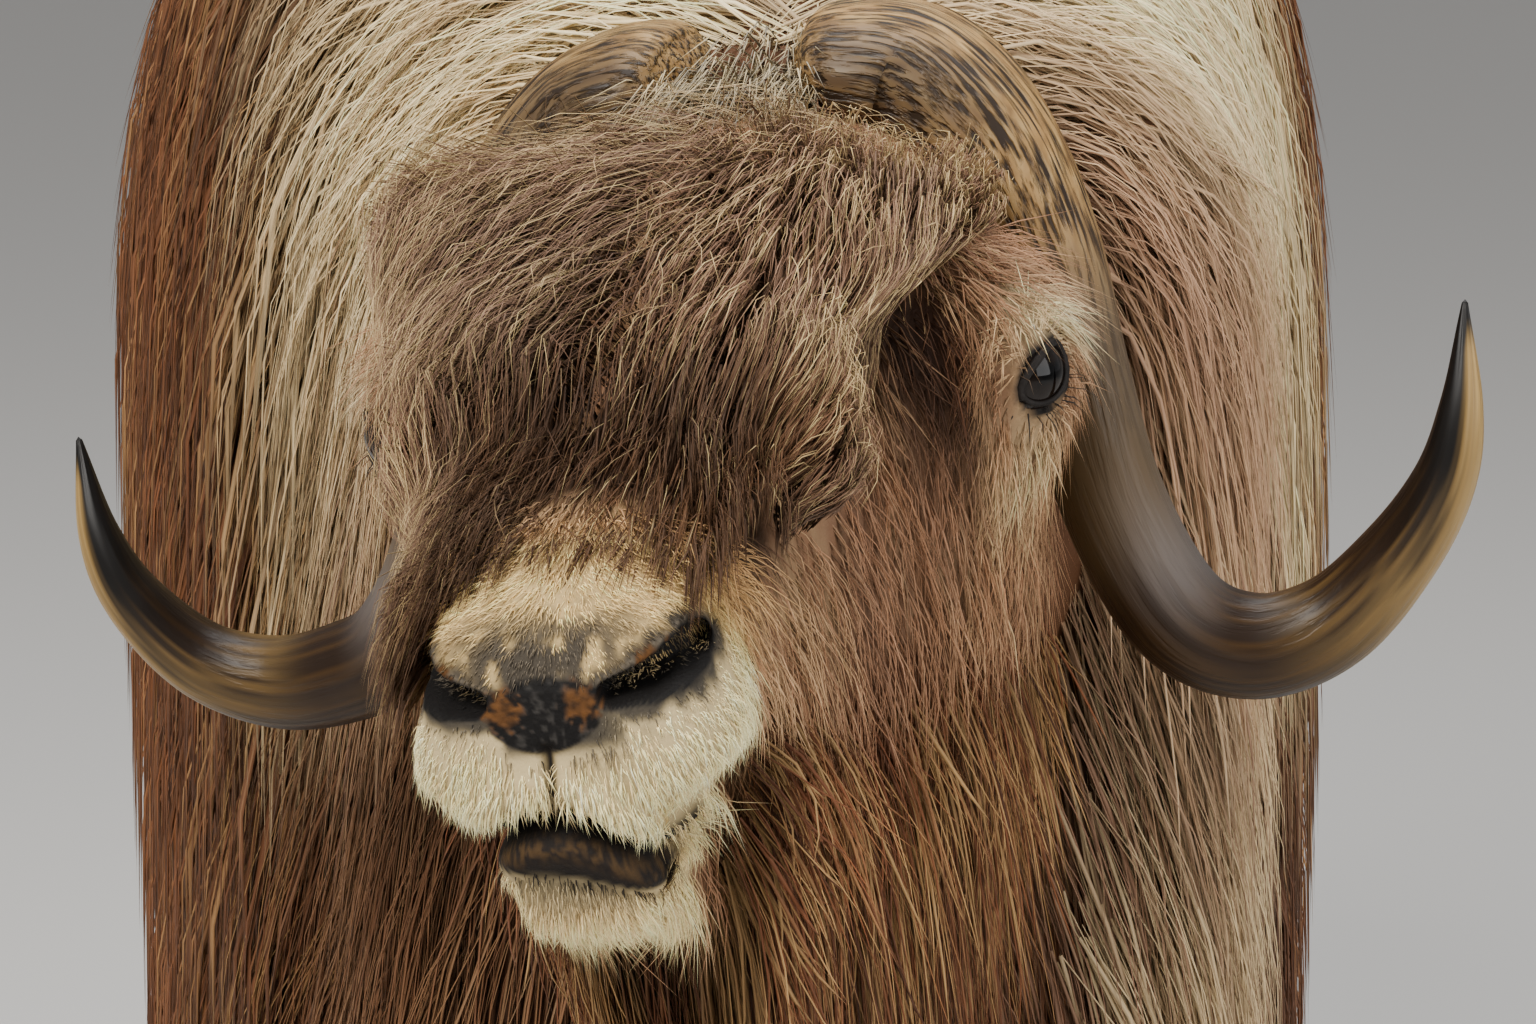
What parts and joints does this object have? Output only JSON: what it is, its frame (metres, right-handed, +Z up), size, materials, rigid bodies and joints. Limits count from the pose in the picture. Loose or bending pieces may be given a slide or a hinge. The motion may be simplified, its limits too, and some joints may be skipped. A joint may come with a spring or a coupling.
{
  "type": "muskox",
  "caption": "Life-size standing museum model of a muskox with a long hanging coat, curved horns and its head turned aside.",
  "frame": {"origin": "floor level, under the centre of the bounding box", "axes": "+Z up; the animal faces -Y; +X is its left side"},
  "size_m": [0.7334, 2.0172, 1.2871],
  "materials": {
    "coat": "long brown hair with cream bands, matte",
    "stocking": "short pale hair, matte",
    "hoof": "dark keratin, satin",
    "horn": "tan and dark keratin, ribbed boss and smooth shafts, satin",
    "eye": "dark brown, glossy"
  },
  "bodies": {
    "root": {"head": "coat", "neck": "coat", "shoulder_left": "coat", "shoulder_right": "coat", "flank_left": "coat", "flank_right": "coat", "rump_left": "coat", "rump_right": "coat", "tail": "coat", "ear_left": "coat", "ear_right": "coat", "leg_front_left": "stocking", "leg_front_right": "stocking", "leg_hind_left": "stocking", "leg_hind_right": "stocking", "hoof_front_left": "hoof", "hoof_front_right": "hoof", "hoof_hind_left": "hoof", "hoof_hind_right": "hoof", "horn_left": "horn", "horn_right": "horn", "eye_left": "eye", "eye_right": "eye"}
  },
  "joints": []
}
